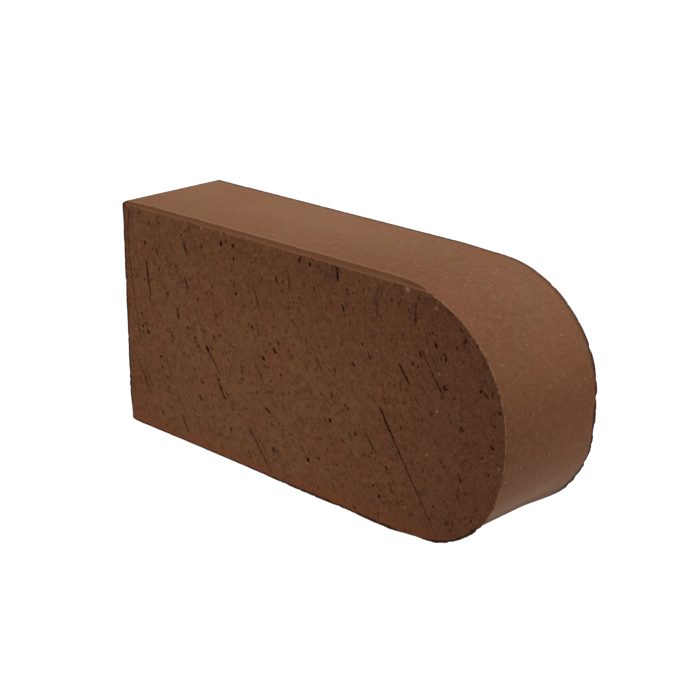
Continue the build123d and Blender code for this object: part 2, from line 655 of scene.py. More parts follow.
upper_corner_s = 2 * tip_s - corner_s
stretches = {
    "torn": (corner_s - past_the_corner, at_angle(10), 12.0),
    "nose": (at_angle(-60), at_angle(60), 12.0),
    "under the nose": (at_angle(-84), at_angle(-33), 9.0),
    "square end": (upper_corner_s + below_the_top, 2 * tip_s + corner_s + past_the_corner, 6.0),
    "upper side": (at_angle(80), upper_corner_s, 10.0),
}
on = {name: within(loop_s, *ends) for name, ends in stretches.items()}
least_rough = 0.08
front_rough = 0.3
end_rough = 0.25
rear_rough = 1.3
chip_long = (1.5, 4.0)
front_chips = (5, 46, chip_long, (0.1, 0.4))
rear_chips = (6, 60, chip_long, (0.15, 0.6))
upper_side_spared = 0.8
rear_out = bumps(rear_bumps, at_angle) + nose_swell * on["nose"]
front_worn = bumps(front_wear)
under_nose = hollow_under_nose * on["under the nose"]
front_torn = least_rough + front_rough * on["torn"] + end_rough * on["square end"]
front_nicks = ragged(loop_s, seed=101, rough=front_torn)
front_nicks = front_nicks + chips(loop_s, *front_chips)
rear_nicks = ragged(loop_s, seed=202, rough=least_rough + rear_rough * on["torn"])
rear_nicks = rear_nicks + chips(loop_s, *rear_chips) * (1 - upper_side_spared * on["upper side"])
print(f"nicks up to {front_nicks.max():.2f} mm in front and {rear_nicks.max():.2f} mm behind")

# %% [markdown]
# Now one cross-section of the brick can be worked out, at given distances from both faces. The
# insets are summed, the loop moves inwards by the sum, and last the two bevels cut it off. Each
# inset fades in its own way: wear within a few millimetres of the front, a nick the further back
# the deeper it is, while the swellings of the rear rim grow from the front to the rear.

# %% A cross-section
rear_swell_starts = 8.0
skin_wave_size = 26.0
skin_wave_seed = 31
hollow_starts = (0.2, 1.6)
nick_reach = 0.5
nick_growth = 1.2


def bitten(nicks, t):
    """Nicks at t from their face, each fading over a distance that grows with its depth."""
    return nicks * np.clip(1 - t / (nick_reach + nick_growth * nicks), 0, 1)


def section(t_front, t_rear):
    """x and z of the loop at its distances from both faces: outline less bevels, wear and nicks."""
    backward = smooth_step(t_front, rear_swell_starts, thickness)
    inset = skin_gap * (2 + soft_noise(loop_s, t_front, skin_wave_size, skin_wave_seed))
    inset = inset + front_worn * np.clip(1 - t_front / front_wear_reach, 0, 1) ** 2
    under = smooth_step(t_front, *hollow_starts) * (1 - smooth_step(t_front, hollow_fades, thickness))
    inset = inset + under_nose * under
    inset = inset - rear_out * backward
    inset = inset + quarter_round(t_front, edge_round) + quarter_round(t_rear, edge_round)
    inset = inset + bitten(front_nicks, t_front)
    inset = inset + bitten(rear_nicks, t_rear)
    x = loop_x - inset * loop_out_x
    z = loop_z - inset * loop_out_z
    squeeze = np.clip((nose_x - x) / (nose_x + half_length), 0, 1)
    x = x + end_bevel_width * np.clip(1 - t_front / end_bevel_depth, 0, 1) * squeeze
    z = np.minimum(z, width - skin_gap - upper_bevel(x, t_front))
    return np.minimum(x, half_length - least_depth), np.maximum(z, least_depth)


# %% [markdown]
# A rectangle is bent into four given sides by blending: each point takes its share of the left
# and right sides, plus its share of the lower and upper sides, less the share of the four corners
# that was counted twice. It is called a Coons patch, and it keeps the cells even.


# %% A face's grid
def coons_patch(loop_values):
    """Fills a loop's values inwards, by left-right plus down-up blends less the corners' blend."""
    low_side = loop_values[:columns]
    right = loop_values[columns - 1 : columns + rows - 1]
    top = loop_values[columns + rows - 2 : 2 * columns + rows - 2][::-1]
    left = np.append(loop_values[2 * columns + rows - 3 :], loop_values[0])[::-1]
    u = np.linspace(0, 1, columns)[:, None]
    v = np.linspace(0, 1, rows)[None, :]
    across = (1 - u) * left[None, :] + u * right[None, :]
    upward = (1 - v) * low_side[:, None] + v * top[:, None]
    corners = (1 - u) * ((1 - v) * left[0] + v * left[-1]) + u * ((1 - v) * right[0] + v * right[-1])
    return across + upward - corners


def face_grid(face, seed, sign):
    """The points of one cut face: a Coons patch in x and z, with its depth from the map."""
    t_front = np.full_like(loop_s, sign * half_thickness + half_thickness)
    rim_x, rim_z = section(t_front, thickness - t_front)
    x, z = coons_patch(rim_x), coons_patch(rim_z)
    y = sign * (half_thickness - face_depth(face, x, z, seed))
    return np.stack([x, y, z], -1)


def rim_indices():
    """For each point of the loop, its number in a face's grid."""
    i, j = np.arange(columns), np.arange(rows)
    low_side = i * rows
    right = (columns - 1) * rows + j
    top = (i * rows + rows - 1)[::-1]
    left = j[::-1]
    return np.concatenate([low_side[:-1], right[:-1], top[:-1], left[:-1]])


front_grid = face_grid(front, seed=41, sign=-1.0)
rear_grid = face_grid(rear, seed=42, sign=1.0)
rim = rim_indices()
print(f"front face bulges to y {front_grid[..., 1].min():.2f} mm")

# %% [markdown]
# The skin joins the two loops. Its rows crowd together beside the cut faces, where the bevel and
# the nicks are, and spread out in the middle, where the clay is smooth.

# %% The skin
first_row = 0.07
row_growth = 1.28
widest_row = 3.2


def row_shares():
    """Shares of the way from front to rear: steps that grow by a fixed ratio, then mirrored."""
    steps, reach = [], 0.0
    step = first_row
    while reach + step < half_thickness:
        steps.append(step)
        reach += step
        step = min(step * row_growth, widest_row)
    half = np.cumsum([0.0] + steps) / thickness
    half = half * 0.5 / (half[-1] + step / thickness / 2)
    return np.concatenate([half, 1 - half[::-1]])


shares = row_shares()
front_rim_y = front_grid.reshape(-1, 3)[rim, 1]
rear_rim_y = rear_grid.reshape(-1, 3)[rim, 1]
skin_rows = []
for share in shares[1:-1]:
    y = front_rim_y * (1 - share) + rear_rim_y * share
    x, z = section(y - front_rim_y, rear_rim_y - y)
    skin_rows.append(np.stack([x, y, z], -1))
skin = np.array(skin_rows)
print(f"{len(shares)} rows across the skin")

# %% [markdown]
# Now the three grids become one mesh. Their four-sided cells are listed by number alone, which
# numpy does for all of them at once, and foreach_set hands the lists to Blender.


# %% One closed mesh
def grid_cells(numbers, flip=False):
    """The four corner numbers of every cell of a grid of numbers."""
    cells = np.stack([numbers[:-1, :-1], numbers[1:, :-1], numbers[1:, 1:], numbers[:-1, 1:]], -1)
    cells = cells.reshape(-1, 4)
    return cells[:, ::-1] if flip else cells


def mesh_from(name, points, cells):
    """A mesh of four-sided cells, from arrays of points and of corner numbers."""
    mesh = bpy.data.meshes.new(name)
    mesh.vertices.add(len(points))
    mesh.vertices.foreach_set("co", (points / metre).ravel())
    mesh.loops.add(cells.size)
    mesh.loops.foreach_set("vertex_index", cells.ravel().astype(np.int32))
    mesh.polygons.add(len(cells))
    mesh.polygons.foreach_set("loop_start", np.arange(0, cells.size, 4, dtype=np.int32))
    mesh.update(calc_edges=True)
    mesh.validate()
    return mesh


face_count = columns * rows
numbers = np.arange(face_count).reshape(columns, rows)
skin_numbers = np.vstack(
    [
        rim,
        2 * face_count + np.arange(skin[..., 0].size).reshape(skin.shape[:2]),
        face_count + rim,
    ]
)
skin_numbers = np.hstack([skin_numbers, skin_numbers[:, :1]])
points = np.concatenate([grid.reshape(-1, 3) for grid in (front_grid, rear_grid, skin)])
cells = np.concatenate(
    [grid_cells(numbers), grid_cells(numbers + face_count, flip=True), grid_cells(skin_numbers)]
)
fine_mesh = mesh_from("fired_clay_fine", points, cells)
print(f"{len(points)} points and {len(cells)} cells before thinning")

# %% [markdown]
# Most of those cells lie on clay that is nearly flat, and cost a lot for nothing. The Decimate
# modifier merges cells where that changes the shape least, so the pits, scratches and nicks keep
# theirs. It is applied here, because the next step writes numbers to the points that are left.
# Merging can push a point slightly outwards, so the points are clipped to the brick's box.

# %% Thinning
most_triangles = 192000


def thinned(mesh, name):
    """The mesh with its flattest cells merged, until most_triangles are left."""
    carrier = bpy.data.objects.new(name, mesh)
    bpy.context.collection.objects.link(carrier)
    thin = carrier.modifiers.new("thin", "DECIMATE")
    thin.ratio = most_triangles / (2 * len(mesh.polygons))
    thin.use_collapse_triangulate = True
    seen = carrier.evaluated_get(bpy.context.evaluated_depsgraph_get())
    result = bpy.data.meshes.new_from_object(seen)
    result.name = name
    bpy.data.objects.remove(carrier)
    bpy.data.meshes.remove(mesh)
    return result


def points_of(mesh):
    """The mesh's points in millimetres, one to a row."""
    place = np.empty(len(mesh.vertices) * 3)
    mesh.vertices.foreach_get("co", place)
    return place.reshape(-1, 3) * metre


def put_back_in_box(mesh):
    """Clips each point to the brick's box, and says how far out the furthest one was."""
    place = points_of(mesh)
    kept = np.clip(place, low, high)
    mesh.vertices.foreach_set("co", (kept / metre).ravel())
    mesh.update()
    return np.abs(place - kept).max()


brick_mesh = thinned(fine_mesh, "fired_clay_brick")
print(f"thinning pushed points out of the box by up to {put_back_in_box(brick_mesh):.2f} mm")
brick = bpy.data.objects.new("fired_clay_brick", brick_mesh)
bpy.context.collection.objects.link(brick)
brick_mesh.polygons.foreach_set("use_smooth", np.ones(len(brick_mesh.polygons), bool))
print(f"{len(brick_mesh.polygons)} triangles after thinning")

# %% [markdown]
# The finish has to know where the hollows are, because they are painted darker than the face:
# the clay inside them is darker, and their shade is painted in as colour. So each point of the mesh
# gets one number, its depth below the face around it. Points of the skin, and those in the narrow
# rim beside it, get none.

# %% The hollows, point by point
darkest_at = 0.75
face_reach = 2.6
rim_breadth = 1.2


def mark_hollows(mesh):
    """Stores each point's depth in a hollow, from 0 to 1, as an attribute called hollow."""
    x, y, z = points_of(mesh).T
    depth = np.where(y < 0, sample(front.hollows, x, z), sample(rear.hollows, x, z))
    past_nose = np.maximum(x - nose_x, 0)
    inside = np.minimum(nose_radius - np.hypot(past_nose, z - middle_z), x + half_length)
    on_face = (half_thickness - np.abs(y) < face_reach) & (inside > rim_breadth)
    value = np.where(on_face, np.clip(depth / darkest_at, 0, 1), 0.0)
    layer = mesh.attributes.new("hollow", "FLOAT", "POINT")
    layer.data.foreach_set("value", value.astype(np.float32))


mark_hollows(brick_mesh)

# %% [markdown]
# A finish in Blender is a web of nodes, which is quick to draw and slow to read. Here it is
# written as sums instead. One small class stands for a wire in the web, and adding or multiplying
# wires adds the Math node that does it. A second class makes every other kind of node.


# %% Sums of wires
class Wire:
    """One output in a node web. Sums and products of wires add Math nodes."""

    def __init__(self, web, socket):
        self.web = web
        self.socket = socket

    def math(self, operation, *others, clamp=False):
        """A Math node that takes this wire first and then the others."""
        settings = {"operation": operation, "use_clamp": clamp}
        return self.web.node("ShaderNodeMath", settings, dict(enumerate((self, *others))))

    def __add__(self, other):
        return self.math("ADD", other)

    def __mul__(self, other):
        return self.math("MULTIPLY", other)

    def __sub__(self, other):
        return self.math("SUBTRACT", other)

    def __truediv__(self, other):
        return self.math("DIVIDE", other)

    def __pow__(self, other):
        return self.math("POWER", other)

    def __rsub__(self, other):
        return self.web.node("ShaderNodeMath", {"operation": "SUBTRACT"}, {0: other, 1: self})

    def __rtruediv__(self, other):
        return self.web.node("ShaderNodeMath", {"operation": "DIVIDE"}, {0: other, 1: self})

    __radd__ = __add__
    __rmul__ = __mul__

    def clamp(self):
        """The same, but never below 0 or above 1."""
        return self.math("ADD", 0.0, clamp=True)

    def at_least(self, other):
        """The larger of this and another."""
        return self.math("MAXIMUM", other)

    def size(self):
        """The same without its sign."""
        return self.math("ABSOLUTE")

    def step(self, start, end):
        """0 before start and 1 past end, smoothly between. start may be the larger one."""
        settings = {"interpolation_type": "SMOOTHSTEP"}
        sockets = {"Value": self, "From Min": start, "From Max": end}
        return self.web.node("ShaderNodeMapRange", settings, sockets)


class Web:
    """The node web of one material."""

    def __init__(self, name):
        self.material = bpy.data.materials.new(name)
        self.material.use_nodes = True
        self.tree = self.material.node_tree
        self.shader = self.tree.nodes["Principled BSDF"]

    def node(self, kind, settings=None, sockets=None, out=0):
        """Adds a node of a kind, sets it up, fills its sockets and returns one output."""
        made = self.tree.nodes.new(kind)
        for name, value in (settings or {}).items():
            setattr(made, name, value)
        for name, value in (sockets or {}).items():
            self.fill(made.inputs[name], value)
        return Wire(self, made.outputs[out])

    def fill(self, socket, value):
        """Links a wire to a socket, or sets its plain value."""
        if isinstance(value, Wire):
            self.tree.links.new(value.socket, socket)
        else:
            socket.default_value = value

    def mix(self, share, first, second):
        """Blends two colours by a share."""
        sockets = {0: share, 6: first, 7: second}
        return self.node("ShaderNodeMix", {"data_type": "RGBA"}, sockets, out=2)

    def noise(self, vector, size, detail=2.0, roughness=0.5):
        """Noise from 0 to 1 whose largest lumps are about size across."""
        sockets = {"Vector": vector, "Scale": 1 / size, "Detail": detail, "Roughness": roughness}
        return self.node("ShaderNodeTexNoise", {}, sockets)

    def vector(self, x, y, z):
        return self.node("ShaderNodeCombineXYZ", {}, {0: x, 1: y, 2: z})


def srgb(red, green, blue):
    """A colour as a screen shows it, from 0 to 255, turned into the linear one that light uses."""
    shown = np.array([red, green, blue]) / 255
    linear = np.where(shown <= 0.04045, shown / 12.92, ((shown + 0.055) / 1.055) ** 2.4)
    return (*linear.tolist(), 1.0)


# %% [markdown]
# The clay is one material with two skins. Where the die pressed it, fine grains lie flat and the
# colour is even, with a sandy speckle. Where the wire cut it, it is full of pores and faint
# streaks along the wire's path. What tells them apart is only where a point lies, so the next
# cell turns the object's own coordinates into distances in millimetres: below the upper side,
# behind the front, inside the outline, and across the wire's path. Most colours come and go along
# one of these distances, so the places where they do are a table of named ramps, each with the
# value where it is still 0 and the one where it has reached 1.

# %% Where a point lies
# ramps that place the skin's painted sheen, painted shade and painted floor light
skin_ramps = {
    # painted sheen: the skin is painted paler and greyer the higher it lies
    "sheen height": ("z", 58.0, 112.0),
    "rearward": ("y", -32.0, 18.0),
    "top": ("z", 108.0, 119.0),
    "square half": ("x", 80.0, 0.0),
    # where the shoulder is painted in shade
    "shoulder height": ("z", 84.0, 110.0),
    "towards the nose": ("x", -40.0, 84.0),
    # the belt of painted shade round the middle of the nose
    "belt from above": ("z", 84.0, 62.0),
    "belt from below": ("z", 24.0, 46.0),
    "facing up": ("z", 112.0, 120.0),
    "off the floor": ("z", 20.0, 50.0),
    # where light from the floor is painted on the nose
    "foot": ("z", 60.0, 14.0),
}
cut_ramps = {
    "front half": ("y", 10.0, -10.0),
    # where shade is painted over the front
    "upper face": ("z", 60.0, 118.0),
    "past the left end": ("x", -80.0, 40.0),
    "right half": ("x", 10.0, 90.0),
    "at the square end": ("from_end", 12.0, 0.0),
    # where light is painted into the front's lower middle
    "off the left end": ("x", -118.0, -50.0),
    "below the top": ("z", 116.0, 50.0),
    # the front painted darker towards the nose
    "right third": ("x", 20.0, 100.0),
    "nose half": ("x", 50.0, 120.0),
    # where shade is painted into the modelled hollows
    "in a hollow": ("hollow", 0.05, 0.65),
}
rim_ramps = {
    "bevelled": ("x", 90.0, 78.0),
    "front rim": ("behind_front", 1.6, 1.0),
    "lowest": ("z", 11.0, 1.5),
    "rear rim": ("before_rear", 5.0, 1.0),
    "below the shoulder": ("z", 88.0, 70.0),
    "higher up": ("z", 6.0, 110.0),
    "out of hollows": ("hollow", 0.3, 0.05),
    "below the corner": ("z", 90.0, 60.0),
    "where the nose turns": ("x", 82.0, 94.0),
    "near the floor": ("z", 24.0, 14.0),
    "lower half": ("z", 66.0, 40.0),
    # where the dark rim is painted wider, as shade
    "undercut": ("z", 34.0, 14.0),
    "below the upper side": ("z", 112.0, 60.0),
    "above the middle": ("z", 60.0, 90.0),
    "edge of the square end": ("from_end", 3.0, 2.0),
    "just below the top": ("z", 112.0, 118.0),
    "underneath": ("z", 24.0, 16.0),
    "behind the front rim": ("behind_front", 1.0, 2.0),
    "at the front": ("behind_front", 0.7, 0.3),
    "at the outline": ("inside", 0.6, 0.3),
    "off the ground": ("z", 14.0, 26.0),
}
ramps = {**skin_ramps, **cut_ramps, **rim_ramps}
round_power = 2.0
fullness_ends = (0.0, 0.1)
nose_ends = (nose_x - 4.0, nose_x + 8.0)
cut_ends = (0.8, 0.45)
torn_open = (0.0, 0.15)


class Spot:
    """Distances from the brick's faces and edges, as wires, for the point being coloured."""

    def __init__(self, web):
        place = web.node("ShaderNodeTexCoord", out="Object")
        scale = {0: place, "Scale": metre}
        self.place = web.node("ShaderNodeVectorMath", {"operation": "SCALE"}, scale)
        axes = [web.node("ShaderNodeSeparateXYZ", {}, {0: self.place}, out=k) for k in range(3)]
        self.x, self.y, self.z = axes
        self.down = width - self.z
        share = ((self.down - sweep_start) * (1 / (sweep_end - sweep_start))).clamp()
        curve = (share**3.0 - share**4.0 * 0.5) * (sweep_end - sweep_start)
        shift = (curve + (self.down - sweep_end).at_least(0.0)) * sweep_slope
        self.across = self.x - shift
        self.behind_front = self.y + half_thickness
        self.before_rear = half_thickness - self.y
        self.under_face = half_thickness - self.y.size()
        self.from_end = self.x + half_length
        above = self.z - middle_z
        past = (self.x - nose_x).at_least(0.0)
        power = (above * -1.0).step(*fullness_ends) * (low_fullness - round_power) + round_power
        radial = (past**power + above.size() ** power) ** (1.0 / power)
        self.inside = (nose_radius - radial).at_least(0.0)
        self.on_nose = self.x.step(*nose_ends)
        self.hollow = web.node("ShaderNodeAttribute", {"attribute_name": "hollow"}, out="Fac")
        self.cut = self.under_face.step(*cut_ends).at_least(self.hollow.step(*torn_open))

    def at(self, name):
        """A named ramp along one of the distances, from 0 to 1."""
        distance, start, end = ramps[name]
        return getattr(self, distance).step(start, end)


# %% [markdown]
# The colours are the brown of the fired clay and what lies on it or shows through, and painted
# light and shade: a sheen, shade and highlights laid into the colour. They are written as a screen
# shows them, because that is how the eye compares them with the photograph. They are laid one
# over another like coats of thin paint, each only where its mask is high.

# %% Colours and grain
clay_colours = {
    "skin": (104, 64, 40),
    # painted sheen, for skin that faces up
    "skin with painted sheen": (109, 76, 53),
    # red patches of the skin, and painted shade on the shoulder
    "red skin and shade": (112, 65, 41),
    # pale sand, and a painted highlight line on the bevel
    "light sand and highlight": (128, 92, 67),
    # dark sand, and painted shade on the skin
    "dark sand and shade": (84, 51, 33),
    "speck": (150, 118, 92),
    "cut": (106, 67, 41),
    "red cut": (107, 63, 40),
    "olive cut": (98, 66, 40),
    # dark streaks, and painted shade on the front
    "streak and shade": (78, 46, 28),
    # pale sand of the cut, and painted light in the front's middle
    "cut sand and light": (126, 86, 58),
    # small pores, painted dark partly as the shade inside them
    "pore": (56, 31, 19),
    # modelled hollows: darker clay with painted shade
    "deep": (40, 16, 8),
    "bevel": (87, 54, 34),
    # painted shade on the bevel's steep back part
    "shaded bevel stripe": (86, 52, 33),
    # painted highlight on the bevel's lip
    "lip": (106, 72, 51),
    "smeared": (108, 57, 33),
    # torn rims, with painted shade
    "torn and shaded rim": (30, 16, 10),
    # painted shade round the middle of the nose
    "shaded belt": (100, 55, 32),
    # thin lines of painted shade along edges
    "thin shade line": (60, 38, 25),
    # painted highlight along the nose's front rim
    "highlight rim": (134, 98, 70),
    "warm rim": (118, 62, 35),
    # painted light from the white floor on the nose's foot
    "floor-lit foot": (125, 91, 68),
    # paler towards the rear of the upper side
    "pale top": (134, 105, 84),
    # painted shade on the front towards the nose, a little purplish
    "shaded cut": (74, 42, 32),
    "stain": (62, 36, 36),
}


def clay(name):
    """A named colour of the clay."""
    return srgb(*clay_colours[name])


class Coats:
    """Colours laid one over another, like thin paint."""

    def __init__(self, web, colour):
        self.web = web
        self.colour = colour

    def lay(self, name, where, most=None):
        """Lays a named colour where a mask is high, covering at most a share of what is there."""
        share = where if most is None else where * most
        self.colour = self.web.mix(share, self.colour, clay(name))


# %% [markdown]
# The die's skin is nearly even: slow patches towards red, a salt and pepper of sand, and a rare
# pale grain. Light and shade are painted on it too: a paler, greyer painted sheen the higher it
# lies, painted shade on the shoulder, round the middle of the nose and on its front half, and
# painted light from the floor at the foot of the nose. The rear of the upper side is a little paler.
# A noise is told by its size, its number of finer layers and how strong these are. Each row of a
# table of coats names a noise, the two heights between which the coat comes in, the most that it
# covers, and its colour. Where the second height is the lower one, the coat lies on the low parts.

# %% The noises and coats of the die's skin
patch_size = 32.0
blotch_size = 9.0
sand_size = 1.0
grain_size = 0.4
drawn_size = 1.4
drawn_squeeze = 0.04
skin_noises = {
    "patch": (patch_size, 3.0, 0.5),
    "blotch": (blotch_size, 3.0, 0.6),
    "sand": (sand_size, 3.0, 0.7),
    "grain": (grain_size, 2.0, 0.6),
    "mottle": (3.0, 4.0, 0.7),
}
skin_coats = [
    ("mottle", 0.5, 0.68, 0.26, "light sand and highlight"),
    ("mottle", 0.49, 0.32, 0.34, "dark sand and shade"),
    ("patch", 0.48, 0.66, 0.3, "red skin and shade"),
    ("blotch", 0.5, 0.75, 0.25, "red skin and shade"),
    ("sand", 0.52, 0.7, 0.4, "light sand and highlight"),
    ("sand", 0.47, 0.3, 0.4, "dark sand and shade"),
    ("grain", 0.56, 0.74, 0.35, "light sand and highlight"),
    ("drawn", 0.55, 0.75, 0.2, "dark sand and shade"),
]
speck_spacing = 4.6
speck_clump_size = 5.0
speck_radius = (0.14, 0.06)
speck_clumps = (0.45, 0.6)
# shares of painted shade and painted light on the skin
shoulder_shade = 0.56
less_shoulder_shade_behind = 0.26
skin_shade_in_front = 0.34
less_skin_shade_on_top = 0.14
nose_foot_floor_light = 0.75
more_floor_light_behind = 0.25


def cell_distance(web, place, spacing):
    """The distance to the middle of the nearest cell, in cells that are spacing apart."""
    cells = {"Vector": place, "Scale": 1 / spacing, "Randomness": 1.0}
    return web.node("ShaderNodeTexVoronoi", {"feature": "F1"}, cells, out="Distance")


def lay_skin_light_and_shade(coats, at, on_nose):
    """Paints shade on the shoulder, belt and front, floor light at the foot, and a paler rear top."""
    rearward = at("rearward")
    forward = 1 - rearward
    shaded_shoulder = at("shoulder height") * at("towards the nose")
    shaded_belt = forward * at("belt from above") * at("belt from below")
    shaded = forward * (skin_shade_in_front - at("facing up") * less_skin_shade_on_top)
    foot = at("foot") * (nose_foot_floor_light + rearward * more_floor_light_behind) * on_nose
    # the rear of the upper side a little paler
    coats.lay("pale top", rearward * at("top") * at("square half"), most=0.14)
    # painted shade: the shoulder of the nose darker and redder, less towards the rear
    coats.lay("dark sand and shade", shaded_shoulder * (shoulder_shade - rearward * less_shoulder_shade_behind))
    coats.lay("red skin and shade", shaded_shoulder * forward, most=0.3)
    # painted shade round the middle height of the nose, at its front
    coats.lay("shaded belt", shaded_belt, most=0.4)
    # painted shade on the front half of the skin, above the floor, less on the top
    coats.lay("dark sand and shade", shaded * at("off the floor"))
    # painted light: the nose paler towards the floor, as if lit from it
    coats.lay("floor-lit foot", foot)


def skin_colour(web, spot):
    """Clay with painted sheen, light and shade, then patches, light and dark sand and pale grains."""
    noises = {name: web.noise(spot.place, *kind) for name, kind in skin_noises.items()}
    drawn = web.vector(spot.x, spot.y * drawn_squeeze, spot.z)
    noises["drawn"] = web.noise(drawn, drawn_size, 2.0)
    # painted sheen: the skin's colour turns paler and greyer with height
    coats = Coats(web, web.mix(spot.at("sheen height"), clay("skin"), clay("skin with painted sheen")))
    lay_skin_light_and_shade(coats, spot.at, spot.on_nose)
    for name, start, end, most, tint in skin_coats:
        coats.lay(tint, noises[name].step(start, end), most)
    speck = cell_distance(web, spot.place, speck_spacing).step(*speck_radius)
    speck = speck * web.noise(spot.place, speck_clump_size, 1.0).step(*speck_clumps)
    coats.lay("speck", speck, most=0.6)
    return coats.colour, noises["sand"], noises["grain"]


# %% [markdown]
# A few stains and pale grains of the front stand out as much as its marks. They are flat, so they
# are only colour: each is a round dot in the finish, as large as its distance from a listed place
# allows, and noise makes its rim uneven. Each is a pixel of the photograph and a radius in mm.

# %% The front face's own stains and grains
stains = [
    (335, 272, 5.0), (328, 277, 4.0), (375, 302, 2.2), (375, 334, 2.2), (414, 306, 2.4),
    (414, 319, 2.0), (426, 303, 3.4), (183, 243, 2.8), (182, 281, 2.6), (130, 214, 3.4),
]
grains = [
    (426, 455, 0.9), (498, 469, 0.9), (376, 350, 0.9), (291, 316, 0.7), (173, 281, 0.7),
    (307, 463, 0.8), (436, 308, 1.1), (407, 289, 1.7), (291, 451, 0.7), (436, 411, 0.9),
    (201, 228, 1.3), (404, 507, 0.7), (324, 462, 0.6), (426, 350, 0.8),
]
dot_core = 0.35
dot_waver_size = 1.4
dot_waver = 0.8
dot_least = 0.6


def dots(web, spot, places):
    """1 in the middle of each listed dot, and 0 from its radius outwards."""
    uneven = web.noise(spot.place, dot_waver_size, 2.0) * dot_waver + dot_least
    shown = spot.x * 0.0
    for left, top, radius in places:
        x, z = on_front_face((left, top))
        sockets = {0: spot.place, 1: (x, -half_thickness, z)}
        gap = web.node("ShaderNodeVectorMath", {"operation": "DISTANCE"}, sockets, out="Value")
        shown = shown.at_least((gap * uneven).step(radius, radius * dot_core))
    return shown


# %% [markdown]
# The cut clay is the same clay torn open. Patches of red and olive lie under short faint streaks,
# and the pores that are too small to be modelled are cells of a Voronoi pattern, pulled long
# along the wire's path and bent out of round by noise, and painted dark, partly as the shade
# inside them. A noise whose depth counts for only a share of itself is pulled long in the same
# way. Shade is painted over the front, darker above, at the square end and towards the nose, and
# light is painted into its lower middle. Some coats are thinner towards the right, where the front
# is painted darker and duller, partly as painted shade, so each row of this table also says by
# how much.

# %% The noises and coats of the cut face
even_noises = {"patch": (patch_size, 3.0, 0.6), "ripple": (2.8, 3.0, 0.6)}
pulled_noises = {
    "blotch": (0.5, blotch_size, 3.0, 0.65),
    "wide": (0.16, 2.4, 3.0, 0.6),
    "fine": (0.12, 0.8, 2.0, 0.6),
}
cut_coats = [
    ("ripple", 0.5, 0.34, 0.4, 0.0, "streak and shade"),
    ("ripple", 0.53, 0.68, 0.35, 0.2, "cut sand and light"),
    ("wide", 0.5, 0.72, 0.25, 0.0, "streak and shade"),
    ("fine", 0.55, 0.75, 0.4, 0.0, "streak and shade"),
    ("sand", 0.51, 0.68, 0.5, 0.0, "cut sand and light"),
    ("sand", 0.48, 0.32, 0.55, 0.0, "streak and shade"),
    ("grain", 0.55, 0.75, 0.4, 0.0, "cut sand and light"),
]
red_ends = (0.42, 0.62)
olive_ends = (0.48, 0.7)
most_olive = 0.6
less_olive_right = 0.45
# shares of painted shade over the front
least_shade = 0.15
more_shade = {"past the left end": 0.15, "right half": 0.15, "at the square end": 0.2}
streaky_size = 18.0
streaky_ends = (0.4, 0.62)
ripple_height = 2.0
pore_spacing = 1.9
pore_stretch = 0.5
pore_bend = 0.9
pore_bend_size = 0.5
pore_radius = (0.32, 0.15)
pore_clump_size = 3.0
pore_clumps = (0.47, 0.6)
cut_speck_spacing = 3 * speck_spacing
cut_speck_radius = (0.05, 0.02)


def shade_front(coats, noises, at, to_right):
    """Lays olive blotches, then painted shade above, at the ends and to the right, and light in the middle.
    """
    front_half = at("front half")
    more = {place: at(place) * share for place, share in more_shade.items()}
    shade = at("upper face") * (least_shade + more["past the left end"])
    shade = (shade + more["right half"] + more["at the square end"]) * front_half
    middle = at("off the left end") * at("square half") * at("below the top") * front_half
    olive = noises["blotch"].step(*olive_ends) * (most_olive - to_right * less_olive_right)
    coats.lay("olive cut", olive)
    # painted shade: the front darker above, at the square end and to the right
    coats.lay("streak and shade", shade.clamp())
    # painted light in the lower middle of the front
    coats.lay("cut sand and light", middle, most=0.24)
    # painted shade towards the nose
    coats.lay("shaded cut", at("nose half") * front_half, most=0.44)


def small_pores(web, spot):
    """1 in each pore that is too small to be modelled, in clumps."""
    bend = web.noise(spot.place, pore_bend_size, 1.0) * pore_bend
    place = web.vector(spot.across + bend, spot.down * pore_stretch + bend, spot.y)
    clumps = web.noise(spot.place, pore_clump_size, 2.0).step(*pore_clumps)
    return cell_distance(web, place, pore_spacing).step(*pore_radius) * clumps


def cut_colour(web, spot, sand, grain):
    """Clay, slow changes, streaks along the wire, sand, then pores and hollows painted dark, partly as
    shade.
    """
    noises = {name: web.noise(spot.place, *kind) for name, kind in even_noises.items()}
    noises.update(sand=sand, grain=grain)
    for name, (share, *kind) in pulled_noises.items():
        noises[name] = web.noise(web.vector(spot.across, spot.down * share, spot.y), *kind)
    gates = {"fine": web.noise(spot.place, streaky_size, 2.0).step(*streaky_ends)}
    to_right = spot.at("right third") * spot.at("front half")
    coats = Coats(web, web.mix(noises["patch"].step(*red_ends), clay("cut"), clay("red cut")))
    shade_front(coats, noises, spot.at, to_right)
    # pale coats thin out to the right, painting the front darker there
    for name, start, end, most, less, tint in cut_coats:
        where = noises[name].step(start, end)
        if name in gates:
            where = where * gates[name]
        coats.lay(tint, where, most - to_right * less if less else most)
    pore = small_pores(web, spot)
    # small pores painted dark, partly as the shade inside them
    coats.lay("pore", pore, most=0.8)
    speck = cell_distance(web, spot.place, cut_speck_spacing).step(*cut_speck_radius)
    coats.lay("speck", speck, most=0.7)
    coats.lay("stain", dots(web, spot, stains), most=0.4)
    # the modelled hollows painted darker: darker clay and painted shade
    coats.lay("deep", spot.at("in a hollow"), most=0.9)
    return coats.colour, noises["wide"] + noises["ripple"] * ripple_height, noises["fine"], pore


# %% [markdown]
# The bar's bevel along the upper edge has a look of its own: a lip next to the front that is
# painted slightly paler, a painted highlight, dull clay behind it with a stripe of painted shade
# on its steep back part, and a faint painted highlight line where it steps up to the skin. It
# runs out on the nose. How far back a point lies is told as a share of the bevel's depth there,
# so the look follows the shape.

